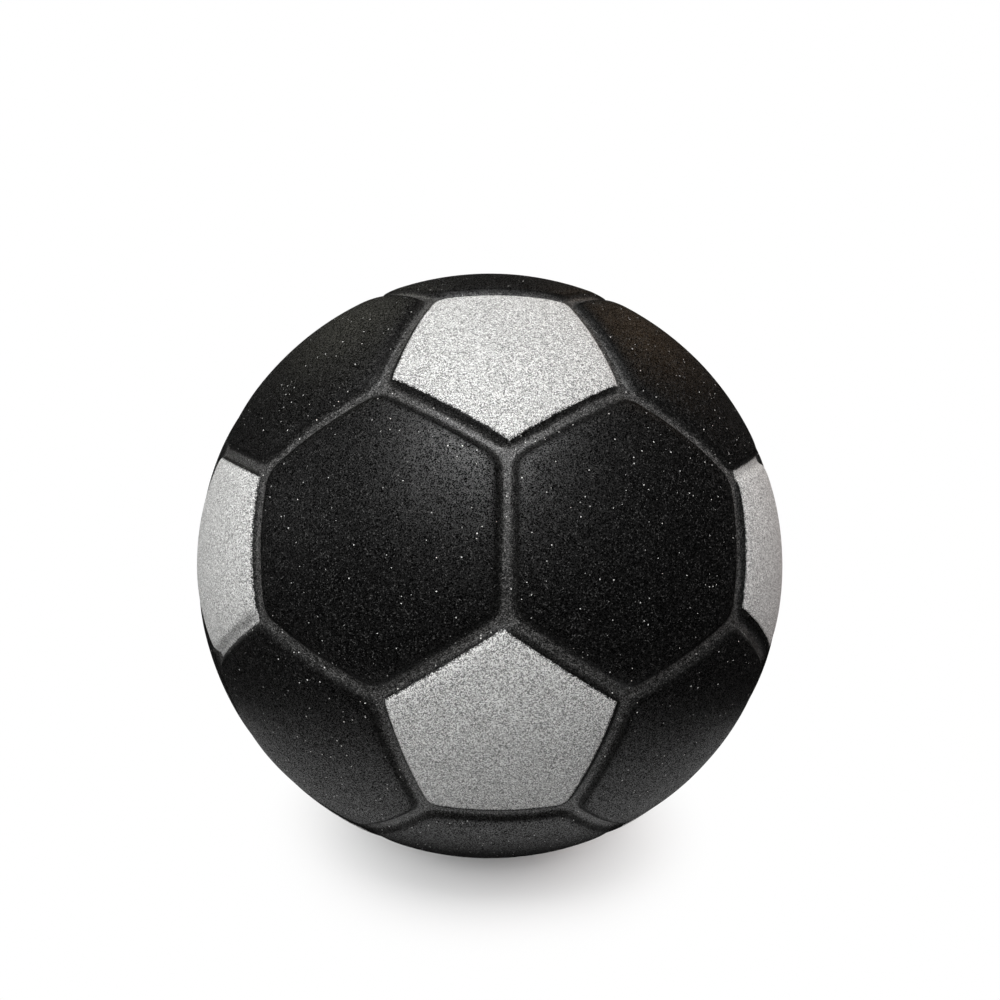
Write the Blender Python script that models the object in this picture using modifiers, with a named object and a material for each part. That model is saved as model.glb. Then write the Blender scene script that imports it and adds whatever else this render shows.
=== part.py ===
"""Moulded foam football: a soft foam core, a grooved one-piece skin and twelve printed pentagons.

Metres, +Z up. The panel layout is a truncated icosahedron cast on a ball. The ball stands on the
flattened middle of one hexagon, and the origin is the centre of that flat.
"""

import math
from dataclasses import dataclass

import bmesh
import bpy
import numpy
from mathutils import Matrix, Vector

# Driving dimensions
BALL_DIAMETER = 0.220        # a size 5 football, across its pads
GROOVE_DEPTH = 0.0018        # from the pads down to the groove floor
GROOVE_FLOOR_WIDTH = 0.0030
GROOVE_MOUTH_WIDTH = 0.0050  # between the tops of the two walls
SHOULDER_WIDTH = 0.0008      # from the top of a wall to the pad
SHOULDER_DROP = 0.0004
PAD_CORNER_BLEND = 0.0034    # reach of the rounding where two grooves meet
SKIN_UNDER_GROOVE = 0.0027   # skin left between a groove floor and the core
PRINT_THICKNESS = 0.0004
PRINT_MARGIN = 0.0002        # pad left bare round a print
GATE_DIAMETER = 0.008        # pouring gate of the mould
GATE_RECESS = 0.0005         # how far the foam in the gate is trimmed below the pad
REST_FLAT_DEPTH = 0.0005     # how far the ball flattens where it lies
SEAT_CLEARANCE = 0.0003

# Facets
CORNER_STATION = 0.004       # from a panel's corner to the first point on its side
SIDE_SPANS = 3
PAD_RINGS = 2
CORE_SUBDIVISIONS = 3
GATE_FACETS = 20

# Derived sizes
BALL_RADIUS = BALL_DIAMETER / 2
FLOOR_EDGE_ARC = GROOVE_FLOOR_WIDTH / 2
WALL_TOP_ARC = GROOVE_MOUTH_WIDTH / 2
PAD_EDGE_ARC = WALL_TOP_ARC + SHOULDER_WIDTH
PRINT_EDGE_ARC = PAD_EDGE_ARC + PRINT_MARGIN
PRINT_SEAT_DROP = PRINT_THICKNESS + SEAT_CLEARANCE
CAVITY_RADIUS = BALL_RADIUS - GROOVE_DEPTH - SKIN_UNDER_GROOVE
CORE_RADIUS = CAVITY_RADIUS - SEAT_CLEARANCE
CENTRE_HEIGHT = BALL_RADIUS - REST_FLAT_DEPTH

# A pentagon's axis and the axis of a hexagon beside it enclose this angle
HEXAGON_TILT = math.acos(math.sqrt((5 + 2 * math.sqrt(5)) / 15))

# Cutting an icosahedron's corners off at this share of its edges, in percent, leaves regular panels
THIRD_OF_EDGE = 100 / 3

# Stands the layout on a hexagon, with its mirror plane at X = 0 and two hexagons side by side in front
LAYOUT_TURN = Matrix.Rotation(math.radians(-90), 3, "Z") @ Matrix.Rotation(HEXAGON_TILT, 3, "Y")

# The pouring gate lies in the hexagon that faces back and up
GATE_SIDE = Vector((0, 1, 1)).normalized()

BLACK_FOAM = (0.020, 0.020, 0.020, 1.0)
INNER_FOAM = (0.030, 0.030, 0.030, 1.0)
SILVER_PRINT = (0.520, 0.520, 0.500, 1.0)


@dataclass
class Panel:
    """A flat panel of the layout, as it is before it is cast on the ball."""

    axis: Vector
    centre: Vector
    side_normals: list
    reach: float
    outline: list

    @property
    def is_pentagon(self):
        return len(self.side_normals) == 5


def clear_scene():
    for old in list(bpy.data.objects):
        bpy.data.objects.remove(old, do_unlink=True)


def new_collection(name):
    collection = bpy.data.collections.new(name)
    bpy.context.scene.collection.children.link(collection)
    return collection


def new_material(name, colour, roughness, metallic):
    material = bpy.data.materials.new(name)
    material.use_nodes = True
    shader = material.node_tree.nodes["Principled BSDF"]
    shader.inputs["Base Color"].default_value = colour
    shader.inputs["Roughness"].default_value = roughness
    shader.inputs["Metallic"].default_value = metallic
    material.diffuse_color = colour
    return material


def object_from(bm, name, collection, parent=None):
    """Turn a bmesh into a smooth-shaded object and free the bmesh."""
    mesh = bpy.data.meshes.new(name)
    bm.to_mesh(mesh)
    bm.free()
    mesh.shade_smooth()
    made = bpy.data.objects.new(name, mesh)
    made.parent = parent
    collection.objects.link(made)
    return made


def as_cutter(tool):
    tool.hide_render = True
    tool.display_type = "WIRE"
    return tool


def combine(target, tool, operation):
    boolean = target.modifiers.new(f"{operation.lower()}_{tool.name}", "BOOLEAN")
    boolean.object = tool
    boolean.operation = operation


def add_stations(edge):
    """Split a side near both corners and evenly between, so that every ring follows the ball."""
    length = edge.calc_length()
    span = (length - 2 * CORNER_STATION) / SIDE_SPANS
    near = edge.verts[0]
    passed = 0.0
    for step in range(SIDE_SPANS + 1):
        station = CORNER_STATION + step * span
        fraction = (station - passed) / (length - passed)
        near = bmesh.utils.edge_split(edge, near, fraction)[1]
        passed = station


def read_panel(face):
    """Measure a flat face of the layout while it still has only its corners."""
    corners = [vert.co.copy() for vert in face.verts]
    centre = face.calc_center_median()
    axis = centre.normalized()
    following = corners[1:] + corners[:1]
    normals = [start.cross(end).normalized() for start, end in zip(corners, following)]
    inward = [normal if normal.dot(axis) > 0 else -normal for normal in normals]
    reach = axis.angle(corners[0] + corners[1])
    return Panel(axis, centre, inward, reach, [])


def panel_layout():
    """Make the truncated icosahedron and measure its panels.

    Returns the bmesh and a list of (face, panel) pairs.
    """
    bm = bmesh.new()
    bmesh.ops.create_icosphere(bm, subdivisions=1, radius=BALL_RADIUS)
    bmesh.ops.bevel(
        bm,
        geom=list(bm.verts),
        offset=THIRD_OF_EDGE,
        offset_type="PERCENT",
        affect="VERTICES",
        segments=1,
    )
    for vert in bm.verts:
        vert.co = LAYOUT_TURN @ vert.co.normalized() * BALL_RADIUS
    pairs = [(face, read_panel(face)) for face in bm.faces]
    for edge in list(bm.edges):
        add_stations(edge)
    for face, panel in pairs:
        panel.outline = [vert.co.copy() for vert in face.verts]
    return bm, pairs


def ring_scale(panel, arc):
    """Share of the flat outline that lies the given arc inside the grooves' middle lines."""
    return math.tan(panel.reach - arc / BALL_RADIUS) / math.tan(panel.reach)


def pad_scales(panel):
    """Shares of the outline for the rings on the pad, evenly from its edge to its centre."""
    edge = ring_scale(panel, PAD_EDGE_ARC)
    return [edge * (1 - ring / (PAD_RINGS + 1)) for ring in range(1, PAD_RINGS + 1)]


def groove_arc(direction, panel):
    """Arc from a groove's middle line, shortened near a corner so that the pad's corners are rounded."""
    arcs = sorted(BALL_RADIUS * math.asin(direction.dot(normal)) for normal in panel.side_normals)
    closeness = max(PAD_CORNER_BLEND - (arcs[1] - arcs[0]), 0.0)
    return arcs[0] - closeness ** 2 / (4 * PAD_CORNER_BLEND)


def skin_radius(direction, panel):
    """Radius of the skin: groove floor, wall, shoulder and pad, with a seat for a pentagon's print."""
    arcs = [FLOOR_EDGE_ARC, WALL_TOP_ARC, PAD_EDGE_ARC]
    drops = [GROOVE_DEPTH, SHOULDER_DROP, 0.0]
    drop = numpy.interp(groove_arc(direction, panel), arcs, drops)
    if panel.is_pentagon:
        drop = max(drop, PRINT_SEAT_DROP)
    return BALL_RADIUS - drop


def print_radius(direction, panel):
    """Radius of a print's inner side."""
    return BALL_RADIUS - PRINT_THICKNESS


def cast_ring(face, panel, scale, radius_at):
    """Put a face's points on the outline scaled to the ring, and cast them on the ball."""
    for vert, start in zip(face.verts, panel.outline):
        direction = panel.centre.lerp(start, scale).normalized()
        vert.co = direction * radius_at(direction, panel)


def cast_rings(bm, face, panel, scales, radius_at):
    """Add rings inside a face and close its middle with a fan."""
    for scale in scales:
        bmesh.ops.inset_individual(bm, faces=[face], thickness=0.0)
        cast_ring(face, panel, scale, radius_at)
    fan = bmesh.ops.poke(bm, faces=[face])
    fan["verts"][0].co = panel.axis * radius_at(panel.axis, panel)


def gate_plug(bm, panels, radius, inner_end, outer_end):
    """Add a round plug along the gate's axis, between two distances from the ball's centre."""
    hexagons = [panel for panel in panels if not panel.is_pentagon]
    axis = max((panel.axis for panel in hexagons), key=GATE_SIDE.dot)
    along_axis = axis.to_track_quat("Z", "Y").to_matrix().to_4x4()
    place = Matrix.Translation(axis * (inner_end + outer_end) / 2) @ along_axis
    bmesh.ops.create_cone(
        bm,
        cap_ends=True,
        segments=GATE_FACETS,
        radius1=radius,
        radius2=radius,
        depth=outer_end - inner_end,
        matrix=place,
    )


def ball_mesh(radius):
    bm = bmesh.new()
    turn = LAYOUT_TURN.to_4x4()
    bmesh.ops.create_icosphere(bm, subdivisions=CORE_SUBDIVISIONS, radius=radius, matrix=turn)
    return bm


def build_skin(root, parts, cutters):
    """Mould the grooved outside, hollow it for the core, open the gate and flatten the resting place."""
    bm, pairs = panel_layout()
    panels = [panel for _, panel in pairs]
    for face, panel in pairs:
        cast_ring(face, panel, 1.0, skin_radius)
    for face, panel in pairs:
        groove_scales = [ring_scale(panel, arc) for arc in (FLOOR_EDGE_ARC, WALL_TOP_ARC, PAD_EDGE_ARC)]
        cast_rings(bm, face, panel, groove_scales + pad_scales(panel), skin_radius)
    skin = object_from(bm, "moulded_skin", parts, root)

    cavity = as_cutter(object_from(ball_mesh(CAVITY_RADIUS), "core_cavity", cutters, root))
    hole = bmesh.new()
    hole_start = CAVITY_RADIUS - GATE_DIAMETER
    gate_plug(hole, panels, GATE_DIAMETER / 2, hole_start, BALL_RADIUS + GATE_DIAMETER)
    gate = as_cutter(object_from(hole, "gate_hole", cutters, root))
    block = bmesh.new()
    bmesh.ops.create_cube(block, size=BALL_DIAMETER)
    bmesh.ops.translate(block, vec=(0, 0, -CENTRE_HEIGHT - BALL_DIAMETER / 2), verts=block.verts)
    floor = as_cutter(object_from(block, "resting_plane", cutters, root))
    for tool in (cavity, gate, floor):
        combine(skin, tool, "DIFFERENCE")
    return skin, panels


def build_core(root, parts, cutters, panels):
    """Fill the skin with foam, with the stub that the foam leaves in the pouring gate."""
    core = object_from(ball_mesh(CORE_RADIUS), "foam_core", parts, root)
    plug = bmesh.new()
    plug_radius = GATE_DIAMETER / 2 - SEAT_CLEARANCE
    gate_plug(plug, panels, plug_radius, CORE_RADIUS - GATE_DIAMETER, BALL_RADIUS - GATE_RECESS)
    stub = as_cutter(object_from(plug, "gate_stub", cutters, root))
    combine(core, stub, "UNION")
    return core


def build_print(number, panel, root, parts):
    """Coat one pentagon: a sheet on the pad, thickened outwards to the ball's own surface."""
    bm = bmesh.new()
    face = bm.faces.new([bm.verts.new(point) for point in panel.outline])
    cast_ring(face, panel, ring_scale(panel, PRINT_EDGE_ARC), print_radius)
    cast_rings(bm, face, panel, pad_scales(panel), print_radius)
    bmesh.ops.recalc_face_normals(bm, faces=bm.faces)
    coat = object_from(bm, f"pentagon_print_{number:02d}", parts, root)
    shell = coat.modifiers.new("coat", "SOLIDIFY")
    shell.thickness = PRINT_THICKNESS
    shell.offset = 1.0
    shell.use_even_offset = True
    return coat


def main():
    clear_scene()
    parts = new_collection("foam_ball")
    cutters = new_collection("cutters")
    root = bpy.data.objects.new("ball_centre", None)
    root.location = (0, 0, CENTRE_HEIGHT)
    parts.objects.link(root)

    skin, panels = build_skin(root, parts, cutters)
    skin.data.materials.append(new_material("black_foam_skin", BLACK_FOAM, 0.9, 0.0))
    core = build_core(root, parts, cutters, panels)
    core.data.materials.append(new_material("inner_foam", INNER_FOAM, 0.95, 0.0))

    silver = new_material("silver_print", SILVER_PRINT, 0.6, 0.1)
    pentagons = [panel for panel in panels if panel.is_pentagon]
    from_front = sorted(pentagons, key=lambda panel: (round(panel.axis.y, 4), round(panel.axis.x, 4)))
    for number, panel in enumerate(from_front, start=1):
        coat = build_print(number, panel, root, parts)
        coat.data.materials.append(silver)


main()
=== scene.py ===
"""Dresses a moulded foam football: its skin, its silver coats and its core, with a floor, light and camera.

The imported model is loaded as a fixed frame: metres, +Z up, the ball resting on the origin with the side
that the photo shows turned to -Y. Each class below builds one sub-assembly of the ball in that frame.
"""
import logging
import math
from dataclasses import dataclass, field
from enum import Enum

import bmesh
import bpy
import numpy as np
from mathutils import Matrix, Vector


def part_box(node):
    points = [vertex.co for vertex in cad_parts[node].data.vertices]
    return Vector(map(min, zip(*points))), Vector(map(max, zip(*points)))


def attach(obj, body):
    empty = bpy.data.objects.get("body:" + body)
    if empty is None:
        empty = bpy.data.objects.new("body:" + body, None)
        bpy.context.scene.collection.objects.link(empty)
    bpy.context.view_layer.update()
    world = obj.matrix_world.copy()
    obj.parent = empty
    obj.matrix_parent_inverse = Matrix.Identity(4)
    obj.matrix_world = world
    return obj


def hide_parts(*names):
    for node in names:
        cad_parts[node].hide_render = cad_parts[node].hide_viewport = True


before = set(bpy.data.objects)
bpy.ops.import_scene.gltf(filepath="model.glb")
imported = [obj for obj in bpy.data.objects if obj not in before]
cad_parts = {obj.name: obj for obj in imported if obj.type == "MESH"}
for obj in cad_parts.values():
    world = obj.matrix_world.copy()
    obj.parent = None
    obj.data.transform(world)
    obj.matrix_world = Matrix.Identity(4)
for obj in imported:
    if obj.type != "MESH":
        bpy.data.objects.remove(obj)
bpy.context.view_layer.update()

LOG = logging.getLogger("foam_ball")

BODY = "root"

# Sizes that the model was drawn with, in metres
REST_FLAT_DEPTH = 0.0005
GATE_DIAMETER = 0.008
GATE_RECESS = 0.0005
SEAT_CLEARANCE = 0.0003

# The layout that the panels are cut from, turned so that a hexagon lies at the bottom
HEXAGON_TILT = math.acos(math.sqrt((5 + 2 * math.sqrt(5)) / 15))
LAYOUT_TURN = Matrix.Rotation(-math.pi / 2, 4, "Z") @ Matrix.Rotation(HEXAGON_TILT, 4, "Y")
CORNER_CUT = 100 / 3
GATE_SIDE = (0.0, 1.0, 1.0)

# Points that lie closer together than this are one point
WELD = 1e-7

# An edge of an open sheet that has fewer faces than this lies on its border
BORDER_FACES = 1.5

# Where the floor stops a point of the ball, with room to spare at the sides
FLOOR_LIMIT = (-1.0, -1.0, 0.0)

# The middle of a noise texture's values
NOISE_MIDDLE = 0.5

# The photo's picture is square, and pixel places are read on a side of this length
PICTURE_SIDE = 1000

Piece = bpy.types.Object
Material = bpy.types.Material
Socket = bpy.types.NodeSocket
Sockets = bpy.types.bpy_prop_collection
Values = dict[str, object]
Range = tuple[float, float]
Colour = tuple[float, float, float, float]


def unit(vectors: np.ndarray) -> np.ndarray:
    """Scales each row to length one."""
    return vectors / np.linalg.norm(vectors, axis=-1, keepdims=True)


def grey(value: float) -> Colour:
    """Makes an opaque grey."""
    return (value, value, value, 1.0)


WHITE = grey(1.0)
ORIGIN = (0.0, 0.0, 0.0)
UPRIGHT = (0.0, 0.0, 1.0)


class PanelShape(Enum):
    """The two kinds of panel, with their number of sides."""

    PENTAGON = 5
    HEXAGON = 6


class TreeKind(Enum):
    """What a node group works on."""

    SHADER = "ShaderNodeTree"
    GEOMETRY = "GeometryNodeTree"


class Easing(Enum):
    """How a value runs from one end of its range to the other."""

    SMOOTH = "SMOOTHSTEP"
    EVEN = "LINEAR"


class LampKind(Enum):
    """A near lamp that the ball mirrors and a broad one that only fills: distance, side and mirroring."""

    SOFTBOX = (1.0, 0.4, True)
    FILL = (1.4, 0.8, False)


class NodeBuilder:
    """Adds linked nodes to a material, a shader group or a geometry tree."""

    def __init__(self, tree: bpy.types.NodeTree) -> None:
        """Keeps the tree that the nodes go to."""
        self.tree = tree

    def find(self, kind: str) -> bpy.types.Node:
        """Finds the tree's one node of a kind."""
        return next(node for node in self.tree.nodes if node.type == kind)

    def add(self, kind: str, inputs: dict | None = None, **settings: object) -> bpy.types.Node:
        """Adds one node.

        Args:
            kind: The node's type name.
            inputs: Sockets to link or to set, by name or by number.
            settings: Properties of the node itself.

        Returns:
            The new node.
        """
        node = self.tree.nodes.new(kind)
        for name, value in settings.items():
            setattr(node, name, value)
        self.feed(node.inputs, inputs or {})
        return node

    def result(self, kind: str, inputs: dict | None = None, **settings: object) -> Socket:
        """Adds one node and gives its first output."""
        return self.add(kind, inputs, **settings).outputs[0]

    def feed(self, sockets: Sockets, values: dict) -> None:
        """Links sockets to other ones, or sets them to plain values.

        Args:
            sockets: A node's inputs.
            values: What goes into them, by name or by number. A list links each of its sockets.
        """
        for key, value in values.items():
            sources = value if isinstance(value, list) else [value]
            for source in sources:
                if isinstance(source, Socket):
                    self.tree.links.new(source, sockets[key])
                else:
                    sockets[key].default_value = source

    def math(self, operation: str, *values: object) -> Socket:
        """Adds a Math node and gives its result."""
        return self.result("ShaderNodeMath", dict(enumerate(values)), operation=operation)

    def vector(self, operation: str, *values: object) -> Socket:
        """Adds a Vector Math node and gives its vector."""
        return self.result("ShaderNodeVectorMath", dict(enumerate(values)), operation=operation)

    def scaled(self, vector: Socket, factor: Socket) -> Socket:
        """Multiplies a vector by a number."""
        return self.result("ShaderNodeVectorMath", {0: vector, "Scale": factor}, operation="SCALE")

    def measure(self, operation: str, *values: object) -> Socket:
        """Adds a Vector Math node and gives the number that it measures."""
        node = self.add("ShaderNodeVectorMath", dict(enumerate(values)), operation=operation)
        return node.outputs["Value"]

    def span(
        self,
        value: Socket,
        start: object,
        end: object,
        first: object,
        last: object,
        easing: Easing = Easing.SMOOTH,
    ) -> Socket:
        """Eases a value that runs from start to end into one from first to last, held at both ends."""
        sockets = {"Value": value, "From Min": start, "From Max": end, "To Min": first, "To Max": last}
        return self.result("ShaderNodeMapRange", sockets, interpolation_type=easing.value)

    def blend(self, share: Socket, colour: object, other: object) -> Socket:
        """Mixes a colour with a share of another one, which varies over the surface."""
        # The node's colours go by number, because other sockets of it have the same names
        node = self.add("ShaderNodeMix", {0: share, 6: colour, 7: other}, data_type="RGBA")
        return node.outputs[2]

    def noise(self, vector: Socket, scale: object, detail: float) -> Socket:
        """Adds a noise texture and gives its value."""
        return self.result("ShaderNodeTexNoise", {"Vector": vector, "Scale": scale, "Detail": detail})


# The type of a group's input, by the type of its plain value
SOCKET_KINDS = {
    int: "NodeSocketInt",
    float: "NodeSocketFloat",
    tuple: "NodeSocketVector",
    Material: "NodeSocketMaterial",
}


class GroupBuilder(NodeBuilder):
    """Builds a node group that has one input for each named value."""

    def __init__(self, name: str, kind: TreeKind, values: Values) -> None:
        """Makes the empty group. One that works on geometry takes in a shape too.

        Args:
            name: The group's name.
            kind: What it works on.
            values: The names of its inputs, with their plain values.
        """
        super().__init__(bpy.data.node_groups.new(name, kind.value))
        if kind is TreeKind.GEOMETRY:
            self.add_socket("Geometry", "INPUT", "NodeSocketGeometry")
        for label, value in values.items():
            self.add_socket(label, "INPUT", SOCKET_KINDS[type(value)]).default_value = value
        self.source = self.add("NodeGroupInput").outputs

    def add_socket(self, name: str, side: str, kind: str) -> bpy.types.NodeTreeInterfaceSocket:
        """Adds a named input or output to the group."""
        return self.tree.interface.new_socket(name, in_out=side, socket_type=kind)

    def cells(self) -> tuple[Socket, Sockets]:
        """Divides space into cells, by the group's own Vector and Scale.

        Returns:
            The distance from a cell's middle, and three numbers that are drawn for each cell.
        """
        spread = {name: self.source[name] for name in ("Vector", "Scale")}
        cells = self.add("ShaderNodeTexVoronoi", spread).outputs
        chance = self.add("ShaderNodeSeparateColor", {"Color": cells["Color"]}).outputs
        return cells["Distance"], chance

    def rod(self, sizes: dict, axis: Socket, middle: Socket) -> Socket:
        """Adds a round rod.

        Args:
            sizes: The inputs of its cylinder.
            axis: The direction that it points in.
            middle: The place of its middle.

        Returns:
            The rod.
        """
        upright = self.result("GeometryNodeMeshCylinder", sizes)
        turn = self.result("FunctionNodeAlignRotationToVector", {"Vector": axis}, axis="Z")
        placing = {"Geometry": upright, "Translation": middle, "Rotation": turn}
        return self.result("GeometryNodeTransform", placing)

    def give(self, kind: str = "NodeSocketFloat", **results: Socket) -> None:
        """Ends the group with one output for each named result.

        Args:
            kind: The outputs' type.
            results: What they give.
        """
        for name in results:
            self.add_socket(name, "OUTPUT", kind)
        self.add("NodeGroupOutput", results)

    def dress(self, shape: Socket) -> None:
        """Ends a geometry tree: makes its shape whole and puts the tree's material on it.

        Args:
            shape: The finished shape.
        """
        whole = self.result("GeometryNodeRealizeInstances", {"Geometry": shape})
        dressing = {"Geometry": whole, "Material": self.source["Material"]}
        self.give("NodeSocketGeometry", Geometry=self.result("GeometryNodeSetMaterial", dressing))

    def use(self, builder: NodeBuilder, **inputs: object) -> Sockets:
        """Places the finished shader group in another tree and gives its outputs."""
        return builder.add("ShaderNodeGroup", inputs, node_tree=self.tree).outputs


class MaterialBuilder(NodeBuilder):
    """Builds a material round its Principled shader."""

    def __init__(self, name: str) -> None:
        """Makes the material, with a shader that is still plain.

        Args:
            name: The material's name.
        """
        self.material = bpy.data.materials.new(name)
        self.material.use_nodes = True
        super().__init__(self.material.node_tree)

    def place(self) -> Socket:
        """Gives the piece's own Object coordinates."""
        return self.add("ShaderNodeTexCoord").outputs["Object"]

    def bump(self, distance: float, height: Socket) -> Socket:
        """Turns a height that varies over the surface into a normal."""
        return self.result("ShaderNodeBump", {"Distance": distance, "Height": height})

    def shade(self, sockets: Values) -> None:
        """Links or sets the shader's sockets."""
        self.feed(self.find("BSDF_PRINCIPLED").inputs, sockets)


def run_geometry(piece: Piece, group: GroupBuilder, values: Values) -> None:
    """Runs a geometry tree on a piece and keeps the result as a plain mesh.

    Args:
        piece: The object whose mesh goes in.
        group: The geometry tree.
        values: The tree's inputs, by name.
    """
    modifier = piece.modifiers.new(group.tree.name, "NODES")
    modifier.node_group = group.tree
    for item in group.tree.interface.items_tree:
        if item.in_out == "INPUT" and item.name in values:
            modifier[item.identifier] = values[item.name]
    evaluated = piece.evaluated_get(bpy.context.evaluated_depsgraph_get())
    result = bpy.data.meshes.new_from_object(evaluated)
    piece.modifiers.remove(modifier)
    before = piece.data
    piece.data = result
    bpy.data.meshes.remove(before)
    result.name = piece.name


def mesh_from(shell: bmesh.types.BMesh, name: str) -> bpy.types.Mesh:
    """Turns a bmesh into a mesh, and frees it.

    Args:
        shell: The bmesh.
        name: The mesh's name.

    Returns:
        The mesh.
    """
    mesh = bpy.data.meshes.new(name)
    shell.to_mesh(mesh)
    shell.free()
    return mesh


def link_object(name: str, data: bpy.types.ID) -> Piece:
    """Makes an object and links it to the scene.

    Args:
        name: The object's name.
        data: Its mesh, light or camera.

    Returns:
        The object.
    """
    made = bpy.data.objects.new(name, data)
    bpy.context.scene.collection.objects.link(made)
    return made


def stand_in(piece: Piece, node: str) -> None:
    """Puts a finished piece in place of one of the model's own.

    Args:
        piece: The piece.
        node: The model's own piece.
    """
    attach(piece, BODY)
    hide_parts(node)


@dataclass(frozen=True)
class GrooveProfile:
    """The cross-section of a groove, in arcs from its middle line and drops below the ball's round."""

    depth: float = 0.0018
    floor_half: float = 0.0006
    wall_top: float = 0.0034
    shoulder_end: float = 0.0070
    shoulder_drop: float = 0.00030
    corner_blend: float = 0.0034


@dataclass(frozen=True)
class Panel:
    """One flat panel of the layout, on a ball of radius one."""

    shape: PanelShape
    corners: np.ndarray
    side_normals: np.ndarray

    @property
    def centre(self) -> np.ndarray:
        """The middle of the flat panel."""
        return self.corners.mean(axis=0)

    @property
    def axis(self) -> np.ndarray:
        """The direction from the ball's centre through the panel's middle."""
        return unit(self.centre)

    @property
    def reach(self) -> float:
        """The angle from the panel's middle to its nearest side."""
        return math.asin(float(np.min(self.side_normals @ self.axis)))

    def rounded_arcs(self, directions: np.ndarray, blend: float) -> np.ndarray:
        """Measures how far directions lie from the panel's sides, with the corners rounded off.

        Args:
            directions: Unit vectors, one in each row.
            blend: The angle over which two sides run together at a corner.

        Returns:
            The angle to the nearest side for each row.
        """
        arcs = np.sort(np.arcsin(directions @ self.side_normals.T), axis=1)
        overlap = np.maximum(blend - (arcs[:, 1] - arcs[:, 0]), 0)
        return arcs[:, 0] - overlap**2 / (4 * blend)


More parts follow.
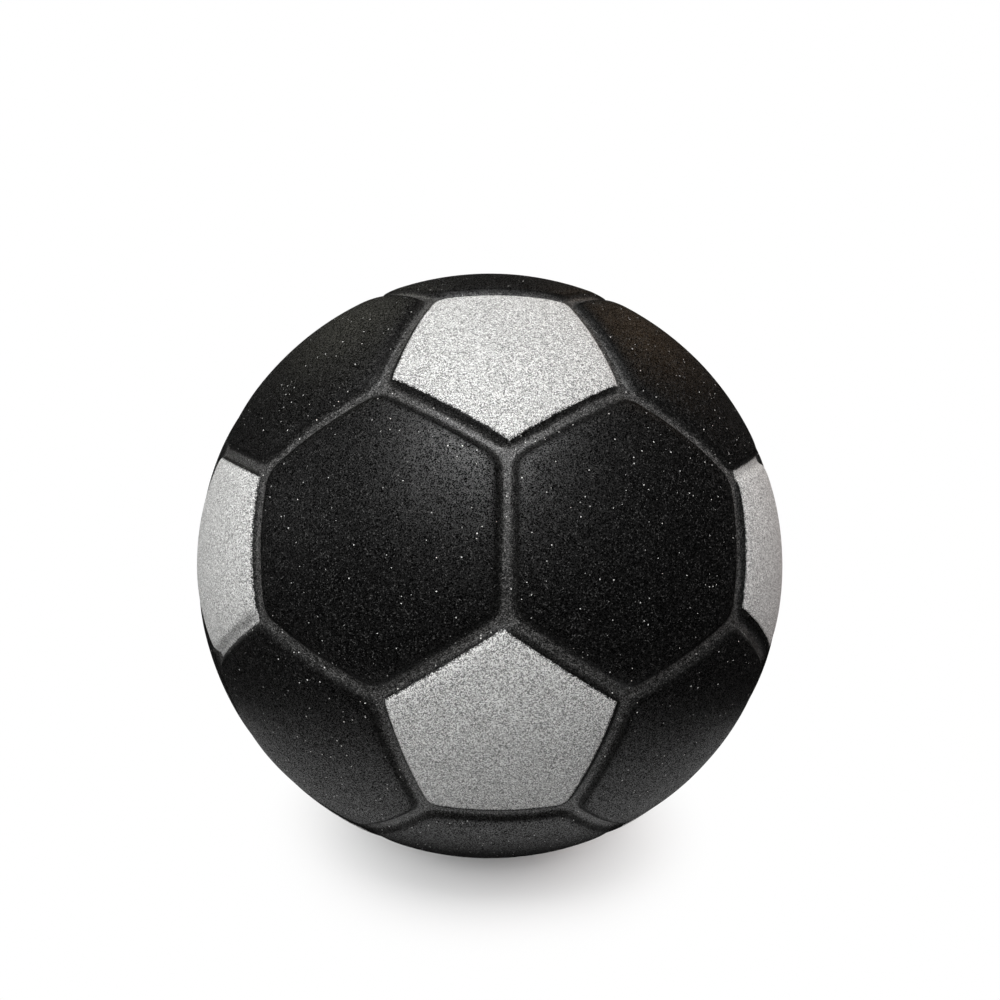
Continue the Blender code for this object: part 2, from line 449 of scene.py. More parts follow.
@dataclass
class PanelNet:
    """The 32 panels of the ball and the net of triangles that is laid over them.

    Each row of the net keeps one distance from the groove, so that a groove's edges follow the rows.
    """

    ball_radius: float
    profile: GrooveProfile
    floor_rows: int = 3
    wall_rows: int = 6
    shoulder_rows: int = 6
    pad_rows: int = 16
    station_pull: float = 0.5
    search_steps: int = 40
    touch: float = 1e-5
    sort_digits: int = 4
    panels: list[Panel] = field(default_factory=list)

    def __post_init__(self) -> None:
        """Reads the panels off the layout."""
        shell = self.cut_layout()
        for face in shell.faces:
            corners = np.array([corner.co for corner in face.verts])
            normals = unit(np.cross(corners, np.roll(corners, -1, axis=0)))
            self.panels.append(Panel(PanelShape(len(corners)), corners, normals))
        shell.free()

    @staticmethod
    def cut_layout() -> bmesh.types.BMesh:
        """Cuts the corners off an icosahedron.

        Returns:
            The layout's 12 pentagons and 20 hexagons.
        """
        shell = bmesh.new()
        bmesh.ops.create_icosphere(shell, subdivisions=1, radius=1.0, matrix=LAYOUT_TURN)
        corners = shell.verts[:]
        bmesh.ops.bevel(
            shell, geom=corners, offset=CORNER_CUT, offset_type="PERCENT", segments=1, affect="VERTICES"
        )
        return shell

    @property
    def rows(self) -> int:
        """The number of rows from a side to the middle of its panel."""
        return self.floor_rows + self.wall_rows + self.shoulder_rows + self.pad_rows

    def pentagons(self) -> list[Panel]:
        """The pentagons, from the front of the ball to its back and from left to right."""
        found = [panel for panel in self.panels if panel.shape is PanelShape.PENTAGON]
        return sorted(found, key=lambda panel: (round(panel.axis[1], self.sort_digits), panel.axis[0]))

    def gate_axis(self) -> np.ndarray:
        """The middle of the hexagon that the mould is filled through."""
        hexagons = [panel for panel in self.panels if panel.shape is PanelShape.HEXAGON]
        return max(hexagons, key=lambda panel: float(panel.axis @ np.array(GATE_SIDE))).axis

    def row_arcs(self, panel: Panel) -> np.ndarray:
        """Spaces the rows of a panel, close together on the groove's walls.

        Args:
            panel: The panel.

        Returns:
            The distance of each row from the groove's middle line.
        """
        profile = self.profile
        middle = panel.reach * self.ball_radius
        stops = (0.0, profile.floor_half, profile.wall_top, profile.shoulder_end, middle)
        counts = (self.floor_rows, self.wall_rows, self.shoulder_rows, self.pad_rows)
        runs = [np.linspace(a, b, n, endpoint=False) for a, b, n in zip(stops, stops[1:], counts)]
        return np.append(np.concatenate(runs), middle)

    def place(self, panel: Panel, flat: np.ndarray) -> tuple[np.ndarray, np.ndarray]:
        """Moves the flat net of one panel onto the round ball.

        Args:
            panel: The panel.
            flat: The net's points on the flat panel.

        Returns:
            The points' directions from the ball's centre, and their distances from the groove.
        """
        following = np.roll(panel.corners, -1, axis=0)
        middles = (panel.corners + following) / 2 - panel.centre
        apothem = np.linalg.norm(middles[0])
        levels = (flat - panel.centre) @ unit(middles).T / apothem
        side = levels.argmax(axis=1)
        level = levels.max(axis=1)
        row = np.rint((1 - level) * self.rows).astype(int)
        edge = panel.centre + (flat - panel.centre) / np.maximum(level, self.touch)[:, None]
        start = panel.corners[side]
        along = following[side] - start
        share = np.einsum("ij,ij->i", edge - start, along) / np.einsum("ij,ij->i", along, along)
        share -= self.station_pull * np.sin(math.tau * share) / math.tau
        edge = start + along * share[:, None]
        arcs = self.row_arcs(panel)[row]
        low = np.zeros(len(flat))
        high = np.ones(len(flat))
        for _ in range(self.search_steps):
            middle = (low + high) / 2
            directions = unit(panel.centre + (edge - panel.centre) * middle[:, None])
            inside = panel.rounded_arcs(directions, self.profile.corner_blend / self.ball_radius)
            inward = inside * self.ball_radius > arcs
            low = np.where(inward, middle, low)
            high = np.where(inward, high, middle)
        reach = np.where(row == 0, 1.0, np.where(row == self.rows, 0.0, (low + high) / 2))
        return unit(panel.centre + (edge - panel.centre) * reach[:, None]), arcs

    def lay(self) -> bpy.types.Mesh:
        """Lays the net over the ball.

        Returns:
            The net, which keeps how far each point lies from the groove.
        """
        shell = self.cut_layout()
        bmesh.ops.poke(shell, faces=shell.faces[:])
        bmesh.ops.subdivide_edges(shell, edges=shell.edges[:], cuts=self.rows - 1, use_grid_fill=True)
        mesh = mesh_from(shell, "panel_net")
        flat = np.empty(len(mesh.vertices) * 3)
        mesh.vertices.foreach_get("co", flat)
        flat = flat.reshape(-1, 3)
        placed = flat.copy()
        arcs = np.zeros(len(flat))
        for panel in self.panels:
            own = np.all(flat @ panel.side_normals.T > -self.touch, axis=1)
            placed[own], arcs[own] = self.place(panel, flat[own])
        mesh.vertices.foreach_set("co", (placed * self.ball_radius).ravel())
        mesh.attributes.new("groove_arc", "FLOAT", "POINT").data.foreach_set("value", arcs)
        mesh.update()
        return mesh


@dataclass(frozen=True)
class FoamGrain:
    """The fine grain of moulded foam: small cells, each with numbers of its own."""

    scale: float = 4000.0
    unevenness: float = 0.6
    shade_range: Range = (0.1, 0.9)
    glint_power: float = 18.0
    crumb_power: float = 4.0
    shine_range: Range = (0.15, 1.0)
    shine_most: float = 0.82
    pore_start: float = 0.8

    def build(self) -> GroupBuilder:
        """Builds the group.

        Returns:
            The group. It gives the grain's height, its shade from dark to pale, its few glints, its crumbs,
            which are more and dimmer, its shine and its pores.
        """
        group = GroupBuilder("foam_grain", TreeKind.SHADER, {"Vector": ORIGIN, "Scale": self.scale})
        distance, chance = group.cells()
        dome = group.math("SUBTRACT", 1.0, distance)
        group.give(
            Height=group.math("MULTIPLY_ADD", chance["Green"], self.unevenness, dome),
            Shade=group.span(chance["Red"], *self.shade_range, 0.0, 1.0),
            Glints=group.math("POWER", chance["Red"], self.glint_power),
            Crumbs=group.math("POWER", chance["Red"], self.crumb_power),
            Shine=group.span(chance["Green"], *self.shine_range, 0.0, self.shine_most),
            Pores=group.math("GREATER_THAN", chance["Blue"], self.pore_start),
        )
        return group


@dataclass(frozen=True)
class DustAndGlintSpecks:
    """The pale specks on the foam, partly dust and partly painted glints: many fine ones and a few larger.
    """

    scale: float = 750.0
    chance_range: Range = (0.72, 1.0)
    widest: float = 0.158

    def build(self) -> GroupBuilder:
        """Builds the group.

        Returns:
            The group. It gives a mask of the specks.
        """
        group = GroupBuilder("dust_and_glint_specks", TreeKind.SHADER, {"Vector": ORIGIN, "Scale": self.scale})
        distance, chance = group.cells()
        reach = group.span(chance["Red"], *self.chance_range, 0.0, self.widest)
        group.give(Specks=group.math("LESS_THAN", distance, reach))
        return group


@dataclass(frozen=True)
class GrooveBands:
    """The grooves' floor and walls, told by how far a point lies below the ball's round.

    The ranges are shares of the grooves' depth. The floor's mask rises a little with the slope of the wall,
    and the rest of the way in the crease at the bottom.
    """

    ball_radius: float
    centre_height: float
    depth: float
    slope_most: float = 0.42
    crease_most: float = 0.58
    crease_range: Range = (0.82, 0.99)
    wall_start: Range = (0.03, 0.28)
    wall_end: Range = (0.56, 0.96)

    def build(self) -> GroupBuilder:
        """Builds the group.

        Returns:
            The group. It gives masks of the floor and of the walls.
        """
        values = {
            "Vector": ORIGIN,
            "Ball Radius": self.ball_radius,
            "Ball Centre": (0.0, 0.0, self.centre_height),
            "Groove Depth": self.depth,
        }
        group = GroupBuilder("groove_bands", TreeKind.SHADER, values)
        given = group.source
        radius = group.measure("DISTANCE", given["Vector"], given["Ball Centre"])
        drop = group.math("SUBTRACT", given["Ball Radius"], radius)
        share = group.math("DIVIDE", drop, given["Groove Depth"])
        slope = group.span(share, 0.0, 1.0, 0.0, self.slope_most)
        crease = group.span(share, *self.crease_range, 0.0, self.crease_most)
        started = group.span(share, *self.wall_start, 0.0, 1.0)
        ended = group.span(share, *self.wall_end, 0.0, 1.0)
        group.give(Floor=group.math("ADD", slope, crease), Wall=group.math("SUBTRACT", started, ended))
        return group


@dataclass(frozen=True)
class SurfaceEffects:
    """The effects that the finishes share."""

    grain: GroupBuilder
    specks: GroupBuilder
    grooves: GroupBuilder


@dataclass(frozen=True)
class FoamFinish:
    """Matte black moulded foam with a fine grain, paler on the groove floors, with pale specks.

    The colours run from a low one to a high one by the grain. The groove walls carry painted shade: their
    colour is darkened and their shine lowered. The shine also fades towards the foot as painted shade,
    which dims the floor's reflection there. The pale specks are partly dust and partly painted glints.
    """

    pad_low: Colour = (0.0008, 0.0008, 0.0008, 1.0)
    pad_high: Colour = (0.100, 0.099, 0.097, 1.0)
    floor_low: Colour = (0.005, 0.005, 0.0048, 1.0)
    floor_high: Colour = (0.240, 0.237, 0.232, 1.0)
    # Painted shade: the groove walls' near-black colour, and how much of it covers the pad's grain
    wall: Colour = (0.0030, 0.0030, 0.0029, 1.0)
    wall_shade_share: float = 0.7
    speck: Colour = (0.80, 0.80, 0.78, 1.0)
    specular: float = 0.0
    roughness: float = 0.7
    coat_roughness: float = 0.5
    coat_ior: float = 1.96
    # Painted shade: the share of the coat's shine left on the groove walls
    wall_shade_shine: float = 0.3
    floor_shine: float = 0.1
    # Painted shade: between these heights the coat's shine fades towards the bottom
    foot_range: Range = (0.028, 0.052)
    foot_shade_shine: float = 0.1
    bump: float = 0.00008

    def build(self, effects: SurfaceEffects) -> Material:
        """Builds the material.

        Args:
            effects: The shared effects.

        Returns:
            The material.
        """
        builder = MaterialBuilder("foam_skin")
        place = builder.place()
        grain = effects.grain.use(builder, Vector=place)
        specks = effects.specks.use(builder, Vector=place)
        bands = effects.grooves.use(builder, Vector=place)
        pad = builder.blend(grain["Glints"], self.pad_low, self.pad_high)
        floor = builder.blend(grain["Crumbs"], self.floor_low, self.floor_high)
        # Painted shade: the groove walls are darkened towards a near-black colour
        grooved = builder.blend(builder.math("MULTIPLY", bands["Wall"], self.wall_shade_share), pad, self.wall)
        foam = builder.blend(bands["Floor"], grooved, floor)
        # Painted shade: the coat's shine is lowered on the groove walls
        level = builder.span(bands["Wall"], 0.0, 1.0, 1.0, self.wall_shade_shine)
        shine = builder.math("MULTIPLY", grain["Shine"], level)
        shine = builder.math("MULTIPLY_ADD", bands["Floor"], self.floor_shine, shine)
        # Painted shade: the coat's shine fades towards the bottom, which dims the floor's reflection there
        height = builder.add("ShaderNodeSeparateXYZ", {"Vector": place}).outputs["Z"]
        foot = builder.span(height, *self.foot_range, self.foot_shade_shine, 1.0)
        # The pale specks are partly dust and partly painted glints
        builder.shade(
            {
                "Base Color": builder.blend(specks["Specks"], foam, self.speck),
                "Roughness": self.roughness,
                "Specular IOR Level": self.specular,
                "Coat Weight": builder.math("MULTIPLY", shine, foot),
                "Coat Roughness": self.coat_roughness,
                "Coat IOR": self.coat_ior,
                "Normal": builder.bump(self.bump, grain["Height"]),
            }
        )
        return builder.material


@dataclass(frozen=True)
class SilverFinish:
    """A thin sprayed silver coat, satin, in grains from dark to pale.

    On the groove floors its colour is mixed part way to the foam's black, and the grain frays its edge.
    """

    silver: Colour = (0.90, 0.90, 0.886, 1.0)
    pore: Colour = (0.17, 0.17, 0.167, 1.0)
    foam: Colour = (0.02, 0.02, 0.0195, 1.0)
    fray: float = 0.00075
    floor_darkening: float = 0.35
    metallic: float = 0.1
    specular: float = 0.2
    roughness: float = 0.6
    bump: float = 0.00006

    def build(self, effects: SurfaceEffects) -> Material:
        """Builds the material.

        Args:
            effects: The shared effects.

        Returns:
            The material.
        """
        builder = MaterialBuilder("silver_coat")
        place = builder.place()
        grain = effects.grain.use(builder, Vector=place)
        bands = effects.grooves.use(builder, Vector=place)
        coat = builder.blend(grain["Shade"], self.pore, self.silver)
        # Darker on the groove floors: the colour is mixed part way to the foam's black
        floor_darkened = builder.math("MULTIPLY", bands["Floor"], self.floor_darkening)
        inset = builder.add("ShaderNodeAttribute", attribute_name="inset").outputs["Fac"]
        missed = builder.math("LESS_THAN", inset, builder.math("MULTIPLY", grain["Shine"], self.fray))
        toward_foam = builder.math("MAXIMUM", floor_darkened, missed)
        builder.shade(
            {
                "Base Color": builder.blend(toward_foam, coat, self.foam),
                "Metallic": self.metallic,
                "Roughness": self.roughness,
                "Specular IOR Level": self.specular,
                "Normal": builder.bump(self.bump, grain["Height"]),
            }
        )
        return builder.material


@dataclass(frozen=True)
class CoreFinish:
    """Soft open foam, as it shows where the pouring stub is trimmed off."""

    hollow: Colour = (0.006, 0.006, 0.006, 1.0)
    foam: Colour = (0.05, 0.05, 0.048, 1.0)
    grain_scale: float = 1100.0
    roughness: float = 0.9
    bump: float = 0.0005

    def build(self, effects: SurfaceEffects) -> Material:
        """Builds the material.

        Args:
            effects: The shared effects.

        Returns:
            The material.
        """
        builder = MaterialBuilder("open_foam")
        grain = effects.grain.use(builder, Vector=builder.place(), Scale=self.grain_scale)
        builder.shade(
            {
                "Base Color": builder.blend(grain["Pores"], self.foam, self.hollow),
                "Roughness": self.roughness,
                "Normal": builder.bump(self.bump, grain["Height"]),
            }
        )
        return builder.material


@dataclass
class MouldedSkin:
    """The black skin all round the ball, with the grooves that the mould presses into it."""

    net: PanelNet
    centre_height: float
    cavity_radius: float
    material: Material
    cavity_subdivisions: int = 4
    gate_facets: int = 48
    gate_length: float = 0.02
    sharp_angle: float = math.radians(60)
    wave_height: float = 0.00012
    wave_scale: float = 55.0
    wave_detail: float = 2.0

    def values(self) -> Values:
        """Names the sizes that the skin's tree takes.

        Returns:
            The tree's inputs.
        """
        profile = self.net.profile
        return {
            "Ball Radius": self.net.ball_radius,
            "Centre Height": self.centre_height,
            "Groove Depth": profile.depth,
            "Floor Edge": profile.floor_half,
            "Wall Top": profile.wall_top,
            "Shoulder End": profile.shoulder_end,
            "Shoulder Drop": profile.shoulder_drop,
            "Wave Height": self.wave_height,
            "Wave Scale": self.wave_scale,
            "Cavity Radius": self.cavity_radius,
            "Gate Radius": GATE_DIAMETER / 2,
            "Gate Length": self.gate_length,
            "Gate Axis": tuple(self.net.gate_axis()),
            "Material": self.material,
        }

    def build_tree(self) -> GroupBuilder:
        """Builds the tree that presses the grooves, hollows the skin and opens the gate.

        Returns:
            The tree.
        """
        tree = GroupBuilder("moulded_skin", TreeKind.GEOMETRY, self.values())
        given = tree.source
        lift = tree.result("ShaderNodeCombineXYZ", {"Z": given["Centre Height"]})
        grooved = self.press_grooves(tree, lift)
        round_sizes = {"Radius": given["Cavity Radius"], "Subdivisions": self.cavity_subdivisions}
        ball = tree.result("GeometryNodeMeshIcoSphere", round_sizes)
        cavity = tree.result("GeometryNodeTransform", {"Geometry": ball, "Translation": lift})
        mouth = tree.vector("ADD", tree.scaled(given["Gate Axis"], given["Ball Radius"]), lift)
        rod_sizes = {
            "Radius": given["Gate Radius"],
            "Depth": given["Gate Length"],
            "Vertices": self.gate_facets,
        }
        gate = tree.rod(rod_sizes, given["Gate Axis"], mouth)
        meshes = {"Mesh 1": grooved, "Mesh 2": [cavity, gate]}
        cut = tree.result("GeometryNodeMeshBoolean", meshes, operation="DIFFERENCE", solver="MANIFOLD")
        smooth = tree.result("GeometryNodeSetShadeSmooth", {"Geometry": cut}, domain="FACE")
        angle = tree.add("GeometryNodeInputMeshEdgeAngle").outputs["Unsigned Angle"]
        sharp = tree.math("GREATER_THAN", angle, self.sharp_angle)
        edges = {"Geometry": smooth, "Selection": sharp, "Shade Smooth": False}
        tree.dress(tree.result("GeometryNodeSetShadeSmooth", edges, domain="EDGE"))
        return tree

    def press_grooves(self, tree: GroupBuilder, lift: Socket) -> Socket:
        """Adds the nodes that give the net its grooves, its soft shoulders and its flat rest.

        Args:
            tree: The skin's tree.
            lift: The place of the ball's centre.

        Returns:
            The pressed ball.
        """
        given = tree.source
        named = tree.add("GeometryNodeInputNamedAttribute", {"Name": "groove_arc"}, data_type="FLOAT")
        arc = named.outputs["Attribute"]
        drop_top = given["Shoulder Drop"]
        wall = tree.span(arc, given["Floor Edge"], given["Wall Top"], given["Groove Depth"], drop_top)
        fade = tree.span(arc, given["Wall Top"], given["Shoulder End"], 1.0, 0.0, Easing.EVEN)
        rounded = tree.math("SUBTRACT", 1.0, tree.math("MULTIPLY", fade, fade))
        drop = tree.math("SUBTRACT", wall, tree.math("MULTIPLY", drop_top, rounded))
        place = tree.result("GeometryNodeInputPosition")
        noise = tree.noise(place, given["Wave Scale"], self.wave_detail)
        wave = tree.math("SUBTRACT", noise, NOISE_MIDDLE)
        low = tree.math("MULTIPLY_ADD", wave, given["Wave Height"], drop)
        radius = tree.math("SUBTRACT", given["Ball Radius"], low)
        raised = tree.vector("ADD", tree.scaled(tree.vector("NORMALIZE", place), radius), lift)
        resting = tree.vector("MAXIMUM", raised, FLOOR_LIMIT)
        return tree.result("GeometryNodeSetPosition", {"Geometry": given["Geometry"], "Position": resting})

    def build(self) -> Piece:
        """Builds the skin and puts it in place of the model's own.

        Returns:
            The skin.
        """
        piece = link_object("moulded_skin_foam", self.net.lay())
        run_geometry(piece, self.build_tree(), self.values())
        stand_in(piece, "moulded_skin")
        return piece


@dataclass(frozen=True)
class MaskFit:
    """How the spray mask lay on one pentagon.

    The margin runs from the groove's middle line to the silver, and right and up are the mask's slip on the
    panel. The spill is how much further the spray reached past one side, the one that lies furthest towards
    the spill's own right and up. The corners at the ends of that side are rounded.
    """

    margin: float = 0.0033
    right: float = 0.0
    up: float = 0.0
    spill: float = 0.0
    spill_right: float = 0.0
    spill_up: float = -1.0
    rounding: float = 0.0


# The masks of the four pentagons that the photo shows, by number
SHOWN_MASKS = {
    1: MaskFit(margin=0.0027, right=-0.0008, spill=-0.0012, rounding=0.004),
    2: MaskFit(margin=0.0025, right=0.0007, up=0.0007, spill=-0.0018, spill_up=1.0, rounding=0.005),
    3: MaskFit(margin=0.0028, right=0.0008, up=0.0003, spill=0.0036, spill_right=0.3),
    4: MaskFit(margin=0.0025, right=0.0008, up=0.0018, spill=0.0020, spill_right=-0.3, spill_up=1.0),
}


@dataclass
class SprayedCoats:
    """The twelve silver coats, each cut from the skin's own surface and thickened a little."""

    net: PanelNet
    skin: bpy.types.Mesh
    centre: np.ndarray
    material: Material
    lift: float = 0.00002
    thickness: float = 0.00007
    ragged: float = 0.00006
    cap_spare: float = 1.05
    depth_spare: float = 0.003
    corner_cuts: tuple[float, ...] = (0.15, 0.33, 0.5, 0.67, 0.85)
    hidden_slip: float = 0.0012
    seed: int = 7

    def values(self, seed: int) -> Values:
        """Names the sizes that the coats' tree takes.

        Args:
            seed: The seed of one coat's ragged edge.

        Returns:
            The tree's inputs.
        """
        return {
            "Lift": self.lift,
            "Thickness": self.thickness,
            "Ragged": self.ragged,
            "Seed": seed,
            "Material": self.material,
        }

    def build_tree(self) -> GroupBuilder:
        """Builds the tree that frays a sheet's edge and thickens it to a closed coat.

        Returns:
            The tree.
        """
        tree = GroupBuilder("sprayed_coat", TreeKind.GEOMETRY, self.values(self.seed))
        given = tree.source
        faces = tree.add("GeometryNodeInputMeshEdgeNeighbors").outputs["Face Count"]
        border = tree.math("LESS_THAN", faces, BORDER_FACES)
        normal = tree.result("GeometryNodeInputNormal")
        limits = {"Min": (-1.0, -1.0, -1.0), "Max": (1.0, 1.0, 1.0), "Seed": given["Seed"]}
        chance = tree.result("FunctionNodeRandomValue", limits, data_type="FLOAT_VECTOR")
        level = tree.vector("SUBTRACT", chance, tree.vector("PROJECT", chance, normal))
        fray = tree.scaled(level, given["Ragged"])
        moving = {"Geometry": given["Geometry"], "Selection": border, "Offset": fray}
        frayed = tree.result("GeometryNodeSetPosition", moving)
        rise = tree.scaled(normal, given["Lift"])
        raised = tree.result("GeometryNodeSetPosition", {"Geometry": frayed, "Offset": rise})
        growing = {"Mesh": raised, "Offset Scale": given["Thickness"], "Individual": False}
        grown = tree.result("GeometryNodeExtrudeMesh", growing, mode="FACES")
        under = tree.result("GeometryNodeFlipFaces", {"Mesh": raised})
        joined = tree.result("GeometryNodeJoinGeometry", {"Geometry": [grown, under]})
        closed = tree.result("GeometryNodeMergeByDistance", {"Geometry": joined, "Distance": WELD})
        tree.dress(tree.result("GeometryNodeSetShadeSmooth", {"Geometry": closed}))
        return tree

    def round_corner(
        self, panel: Panel, sides: list[int], margins: np.ndarray, rounding: float
    ) -> list[tuple[np.ndarray, float]]:
        """Works out the planes that round off one corner of a mask.

        Args:
            panel: The pentagon.
            sides: The two sides that meet at the corner.
            margins: The margins of all its sides.
            rounding: The corner's radius.

        Returns:
            Each plane's inward normal and its distance from the ball's centre.
        """
        radius = self.net.ball_radius
        pair = panel.side_normals[sides]
        reaches = np.sin((margins[sides] + rounding) / radius)
        flat = np.linalg.solve(pair @ pair.T, reaches) @ pair
        across = unit(np.cross(*pair))
        rise = math.sqrt(1 - flat @ flat) * math.copysign(1.0, across @ panel.axis)
        middle = radius * (flat + rise * across)
        normals = [unit((1 - share) * pair[0] + share * pair[1]) for share in self.corner_cuts]
        return [(normal, middle @ normal - rounding) for normal in normals]

    def mask_cuts(self, panel: Panel, fit: MaskFit) -> tuple[np.ndarray, np.ndarray]:
        """Works out the planes that cut one pentagon's silver to the shape of its mask.

        Args:
            panel: The pentagon.
            fit: How the mask lay on it.

        Returns:
            The planes' inward normals and their distances from the ball's centre.
        """
        right = unit(np.cross(UPRIGHT, panel.axis))
        up = np.cross(panel.axis, right)
        outward = -unit(panel.side_normals - np.outer(panel.side_normals @ panel.axis, panel.axis))
        slip = fit.right * right + fit.up * up
        margins = fit.margin - outward @ slip
        spilt = int(np.argmax(outward @ (fit.spill_right * right + fit.spill_up * up)))
        margins[spilt] -= fit.spill
        radius = self.net.ball_radius
        cuts = list(zip(panel.side_normals, radius * np.sin(margins / radius)))
        if fit.rounding:
            # The two sides next to the spilt one are those that face most nearly its way
            neighbours = np.argsort(outward @ outward[spilt])[-3:-1]
            for neighbour in neighbours:
                cuts += self.round_corner(panel, [spilt, neighbour], margins, fit.rounding)
        normals, depths = zip(*cuts)
        return np.array(normals), np.array(depths)

    def lift_patch(self, panel: Panel) -> bmesh.types.BMesh:
        """Copies the part of the skin's outer surface that holds one pentagon.

        Args:
            panel: The pentagon.

        Returns:
            The open patch, which reaches a little past the pentagon's corners.
        """
        middles = np.empty(len(self.skin.polygons) * 3)
        self.skin.polygons.foreach_get("center", middles)
        middles = middles.reshape(-1, 3) - self.centre
        distances = np.linalg.norm(middles, axis=1)
        corner_reach = float(unit(panel.corners[0]) @ panel.axis)
        widest = math.cos(math.acos(corner_reach) * self.cap_spare)
        outside = distances > self.net.ball_radius - self.depth_spare
        own = (middles @ panel.axis / distances > widest) & outside
        patch = bmesh.new()
        corners: dict[int, bmesh.types.BMVert] = {}
        for index in np.flatnonzero(own):
            face = []
            for corner in self.skin.polygons[index].vertices:
                if corner not in corners:
                    corners[corner] = patch.verts.new(self.skin.vertices[corner].co)
                face.append(corners[corner])
            patch.faces.new(face)
        return patch

    def cut_sheet(self, name: str, panel: Panel, fit: MaskFit) -> bpy.types.Mesh:
        """Cuts one pentagon's sheet out of the skin's outer surface.

        Args:
            name: The sheet's name.
            panel: The pentagon.
            fit: How the mask lay on it.

        Returns:
            The open sheet, which keeps how far each point lies from its edge.
        """
        sheet = self.lift_patch(panel)
        normals, depths = self.mask_cuts(panel, fit)
        for normal, depth in zip(normals, depths):
            bmesh.ops.bisect_plane(
                sheet,
                geom=sheet.verts[:] + sheet.edges[:] + sheet.faces[:],
                dist=WELD,
                plane_co=Vector(self.centre + normal * depth),
                plane_no=Vector(normal),
                clear_inner=True,
            )
        spots = np.array([vertex.co for vertex in sheet.verts]) - self.centre
        mesh = mesh_from(sheet, name)
        inset = mesh.attributes.new("inset", "FLOAT", "POINT")
        inset.data.foreach_set("value", (spots @ normals.T - depths).min(axis=1))
        return mesh

    def build(self) -> list[Piece]:
        """Builds the coats and puts each in place of the model's own.

        Returns:
            The coats.
        """
        tree = self.build_tree()
        chance = np.random.default_rng(self.seed)
        coats = []
        for number, panel in enumerate(self.net.pentagons(), start=1):
            right, up = chance.normal(0.0, self.hidden_slip, 2)
            fit = SHOWN_MASKS.get(number, MaskFit(right=right, up=up))
            name = f"silver_coat_{number:02d}"
            coat = link_object(name, self.cut_sheet(name, panel, fit))
            run_geometry(coat, tree, self.values(number))
            stand_in(coat, f"pentagon_print_{number:02d}")
            coats.append(coat)
        return coats


@dataclass
class FoamCore:
    """The soft foam inside, with the trimmed stub that fills the gate."""

    core_radius: float
    ball_radius: float
    centre_height: float
    gate_axis: np.ndarray
    material: Material
    subdivisions: int = 5
    stub_facets: int = 48
    stub_rings: int = 8
    stub_root: float = 0.006
    end_depth: float = 1e-5
    torn: float = 0.0004
    torn_scale: float = 900.0
    torn_detail: float = 2.0

    def values(self) -> Values:
        """Names the sizes that the core's tree takes.

        Returns:
            The tree's inputs.
        """
        return {
            "Core Radius": self.core_radius,
            "Ball Radius": self.ball_radius,
            "Centre Height": self.centre_height,
            "Stub Radius": GATE_DIAMETER / 2 - SEAT_CLEARANCE,
            "Stub Root": self.stub_root,
            "Recess": GATE_RECESS,
            "Torn": self.torn,
            "Gate Axis": tuple(self.gate_axis),
            "Material": self.material,
        }

    def build_tree(self) -> GroupBuilder:
        """Builds the tree that joins the stub to the round core and roughens its cut end.

        Returns:
            The tree.
        """
        tree = GroupBuilder("foam_core", TreeKind.GEOMETRY, self.values())
        given = tree.source
        axis = given["Gate Axis"]
        round_sizes = {"Radius": given["Core Radius"], "Subdivisions": self.subdivisions}
        ball = tree.result("GeometryNodeMeshIcoSphere", round_sizes)
        end = tree.math("SUBTRACT", given["Ball Radius"], given["Recess"])
        start = tree.math("SUBTRACT", given["Core Radius"], given["Stub Root"])
        rod_sizes = {
            "Radius": given["Stub Radius"],
            "Depth": tree.math("SUBTRACT", end, start),
            "Vertices": self.stub_facets,
            "Side Segments": self.stub_rings,
            "Fill Segments": self.stub_rings,
        }
        middle = tree.math("MULTIPLY", tree.math("ADD", start, end), 0.5)
        stub = tree.rod(rod_sizes, axis, tree.scaled(axis, middle))
        meshes = {"Mesh 2": [ball, stub]}
        union = tree.result("GeometryNodeMeshBoolean", meshes, operation="UNION", solver="MANIFOLD")
        place = tree.result("GeometryNodeInputPosition")
        height = tree.measure("DOT_PRODUCT", place, axis)
        at_end = tree.math("GREATER_THAN", height, tree.math("SUBTRACT", end, self.end_depth))
        noise = tree.noise(place, self.torn_scale, self.torn_detail)
        inward = tree.math("MULTIPLY", tree.math("MULTIPLY", noise, given["Torn"]), -1.0)
        moving = {"Geometry": union, "Selection": at_end, "Offset": tree.scaled(axis, inward)}
        torn = tree.result("GeometryNodeSetPosition", moving)
        lift = tree.result("ShaderNodeCombineXYZ", {"Z": given["Centre Height"]})
        tree.dress(tree.result("GeometryNodeTransform", {"Geometry": torn, "Translation": lift}))
        return tree

    def build(self) -> Piece:
        """Builds the core and puts it in place of the model's own.

        Returns:
            The core.
        """
        piece = link_object("foam_core_open", bpy.data.meshes.new("foam_core_open"))
        run_geometry(piece, self.build_tree(), self.values())
        stand_in(piece, "foam_core")
        return piece


@dataclass(frozen=True)
class StudioLamp:
    """One square soft light that looks at the ball."""

    name: str
    kind: LampKind
    azimuth: float
    elevation: float
    watts: float
    tint: tuple[float, float, float] = (1.0, 1.0, 1.0)

    def build(self, target: Vector) -> None:
        """Places the light round the ball and aims it.

        Args:
            target: The ball's centre.
        """
        distance, side, mirrored = self.kind.value
        light = bpy.data.lights.new(self.name, "AREA")
        light.shape = "SQUARE"
        light.size = side
        light.energy = self.watts
        light.color = self.tint
        tilt = math.radians(self.elevation)
        turn = Matrix.Rotation(math.radians(self.azimuth), 3, "Z")
        away = turn @ Vector((0.0, -math.cos(tilt), math.sin(tilt)))
        lamp = link_object(self.name, light)
        lamp.location = target + away * distance
        lamp.rotation_euler = away.to_track_quat("Z", "Y").to_euler()
        lamp.visible_glossy = mirrored


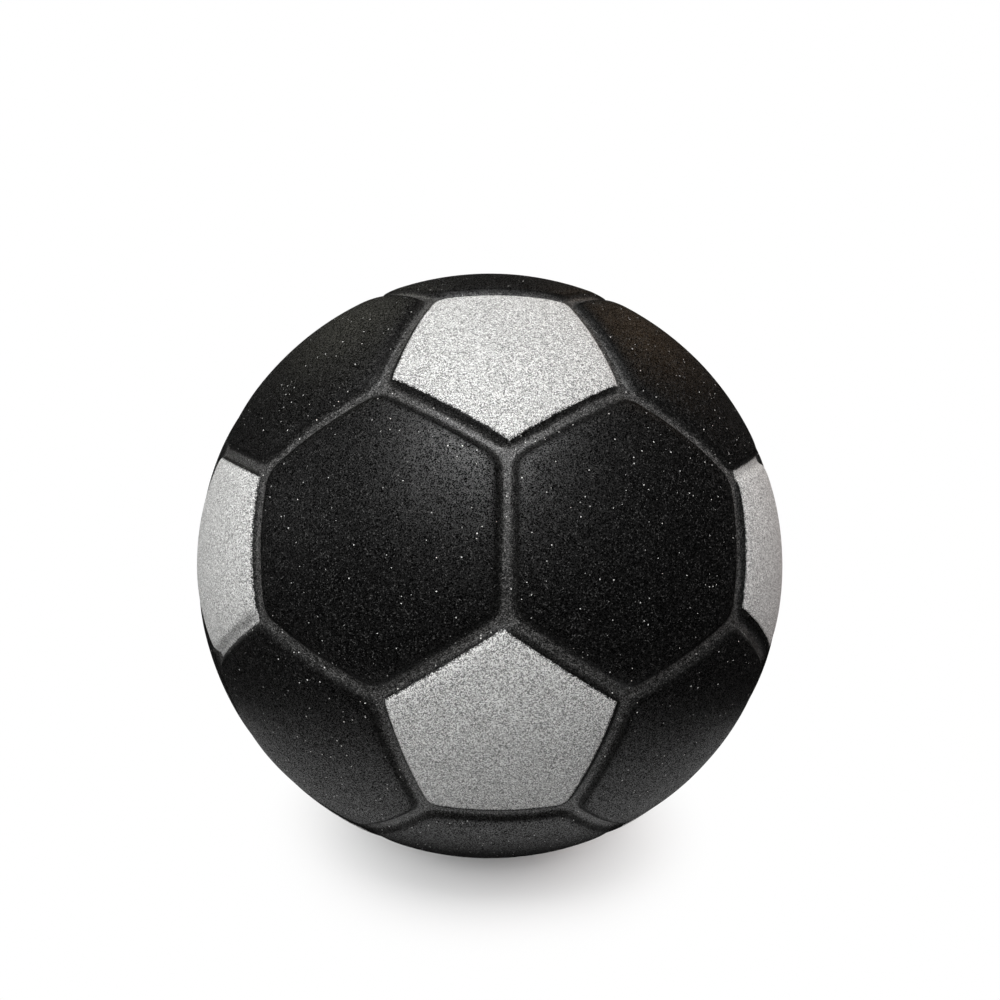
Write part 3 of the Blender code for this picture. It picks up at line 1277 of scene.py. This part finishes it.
@dataclass(frozen=True)
class PhotoCamera:
    """The camera that took the photo, placed from where the ball and its grooves lie in the picture."""

    distance: float = 0.3256
    elevation: float = 16.33
    azimuth: float = 2.50
    roll: float = 1.18
    lens: float = 29.33
    centre_across: float = 489.7
    centre_down: float = 565.9
    nearest: float = 0.01

    def build(self, target: Vector) -> None:
        """Places the camera and makes it the scene's own.

        Args:
            target: The ball's centre.
        """
        camera = bpy.data.cameras.new("photo_camera")
        camera.lens = self.lens
        camera.shift_x = 0.5 - self.centre_across / PICTURE_SIDE
        camera.shift_y = self.centre_down / PICTURE_SIDE - 0.5
        camera.clip_start = self.nearest
        stand = link_object("photo_camera", camera)
        turn = Matrix.Rotation(-math.radians(self.azimuth), 4, "Z")
        tilt = Matrix.Rotation(math.radians(90 - self.elevation), 4, "X")
        roll = Matrix.Rotation(math.radians(self.roll), 4, "Z")
        back = Matrix.Translation((0.0, 0.0, self.distance))
        stand.matrix_world = Matrix.Translation(target) @ turn @ tilt @ roll @ back
        bpy.context.scene.camera = stand


@dataclass
class Stage:
    """The white floor, the soft lights, the dark tent round them and the white surroundings."""

    centre: Vector
    floor_radius: float = 0.165
    floor_facets: int = 96
    floor_drop: float = 0.0001
    floor_colour: Colour = grey(0.20)
    floor_shown: Colour = grey(0.95)
    floor_roughness: float = 0.9
    fade_range: Range = (0.03, 0.098)
    dim_light: float = 0.22
    tent_radius: float = 1.8
    tent_facets: int = 48
    tent_rings: int = 24
    tent_colour: Colour = grey(0.05)
    lamps: tuple[StudioLamp, ...] = (
        StudioLamp("key_softbox", LampKind.SOFTBOX, -12.0, 60.0, 6.1),
        StudioLamp("front_fill", LampKind.FILL, 0.0, 26.0, 9.0),
        StudioLamp("right_fill", LampKind.FILL, 102.0, 18.0, 9.6, tint=(1.0, 0.90, 0.89)),
        StudioLamp("back_fill", LampKind.FILL, 180.0, 18.0, 13.5),
        StudioLamp("left_fill", LampKind.FILL, 280.0, 18.0, 10.4),
        StudioLamp("back_softbox", LampKind.SOFTBOX, 215.0, 40.0, 0.5, tint=(1.0, 0.98, 0.80)),
        StudioLamp("left_softbox", LampKind.SOFTBOX, 280.0, 20.0, 0.35),
        StudioLamp("right_softbox", LampKind.SOFTBOX, 140.0, 40.0, 0.4, tint=(1.0, 0.65, 0.35)),
    )

    @staticmethod
    def seen_share(builder: NodeBuilder) -> Socket:
        """Tells the rays that show the surroundings: straight, mirrored or passed through.

        Args:
            builder: The tree of a material or of the world.

        Returns:
            A value of 1 for such rays and 0 for others.
        """
        path = builder.add("ShaderNodeLightPath").outputs
        shown = builder.math("MAXIMUM", path["Is Camera Ray"], path["Is Glossy Ray"])
        return builder.math("MAXIMUM", shown, path["Is Transmission Ray"])

    def build_world(self) -> None:
        """Makes surroundings that look white and light the ball dimly."""
        world = bpy.data.worlds.new("white_studio")
        bpy.context.scene.world = world
        world.use_nodes = True
        builder = NodeBuilder(world.node_tree)
        strength = builder.span(self.seen_share(builder), 0.0, 1.0, self.dim_light, 1.0)
        builder.feed(builder.find("BACKGROUND").inputs, {"Strength": strength, "Color": WHITE})

    def build_floor(self) -> Piece:
        """Makes a round floor that holds the ball's shadow and turns plain white away from it.

        Returns:
            The floor.
        """
        sheet = bmesh.new()
        bmesh.ops.create_circle(sheet, cap_ends=True, segments=self.floor_facets, radius=self.floor_radius)
        floor = link_object("studio_floor", mesh_from(sheet, "studio_floor"))
        floor.location.z = -self.floor_drop
        builder = MaterialBuilder("studio_floor")
        shown = self.seen_share(builder)
        colour = builder.blend(shown, self.floor_colour, self.floor_shown)
        builder.shade({"Base Color": colour, "Roughness": self.floor_roughness, "Specular IOR Level": 0.0})
        reach = builder.measure("LENGTH", builder.place())
        away = builder.span(reach, *self.fade_range, 0.0, 1.0)
        share = builder.math("MULTIPLY", away, shown)
        white = builder.result("ShaderNodeEmission", {"Color": WHITE})
        end = builder.find("OUTPUT_MATERIAL").inputs
        plain = end["Surface"].links[0].from_socket
        mixed = builder.result("ShaderNodeMixShader", {0: share, 1: plain, 2: white})
        builder.feed(end, {"Surface": mixed})
        floor.data.materials.append(builder.material)
        return floor

    def build_tent(self) -> Piece:
        """Makes the dark tent that keeps the white surroundings from washing out the black foam.

        Returns:
            The tent.
        """
        sheet = bmesh.new()
        bmesh.ops.create_uvsphere(
            sheet, u_segments=self.tent_facets, v_segments=self.tent_rings, radius=self.tent_radius
        )
        tent = link_object("dark_tent", mesh_from(sheet, "dark_tent"))
        tent.visible_camera = False
        builder = MaterialBuilder("dark_tent")
        builder.shade({"Base Color": self.tent_colour, "Roughness": 1.0, "Specular IOR Level": 0.0})
        tent.data.materials.append(builder.material)
        return tent

    def build(self) -> None:
        """Sets up the stage round the ball."""
        self.build_world()
        self.build_floor()
        self.build_tent()
        for lamp in self.lamps:
            lamp.build(self.centre)
        PhotoCamera().build(self.centre)


def report(piece: Piece) -> None:
    """Logs a finished piece."""
    LOG.info("%s: %d faces", piece.name, len(piece.data.polygons))


def main() -> None:
    """Builds the ball's pieces in order and reports each one."""
    logging.basicConfig(level=logging.INFO, format="%(message)s")
    bpy.context.scene.view_settings.view_transform = "Standard"
    skin_low, skin_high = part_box("moulded_skin")
    core_low, core_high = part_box("foam_core")
    ball_radius = (skin_high[2] - skin_low[2] + REST_FLAT_DEPTH) / 2
    centre_height = ball_radius - REST_FLAT_DEPTH
    centre = np.array((0.0, 0.0, centre_height))
    core_radius = (core_high[0] - core_low[0]) / 2
    profile = GrooveProfile()
    net = PanelNet(ball_radius, profile)
    bands = GrooveBands(ball_radius, centre_height, profile.depth)
    effects = SurfaceEffects(FoamGrain().build(), DustAndGlintSpecks().build(), bands.build())

    cavity_radius = core_radius + SEAT_CLEARANCE
    skin = MouldedSkin(net, centre_height, cavity_radius, FoamFinish().build(effects)).build()
    report(skin)

    for coat in SprayedCoats(net, skin.data, centre, SilverFinish().build(effects)).build():
        report(coat)

    open_foam = CoreFinish().build(effects)
    core = FoamCore(core_radius, ball_radius, centre_height, net.gate_axis(), open_foam).build()
    report(core)

    Stage(Vector(centre)).build()


if __name__ == "__main__":
    main()
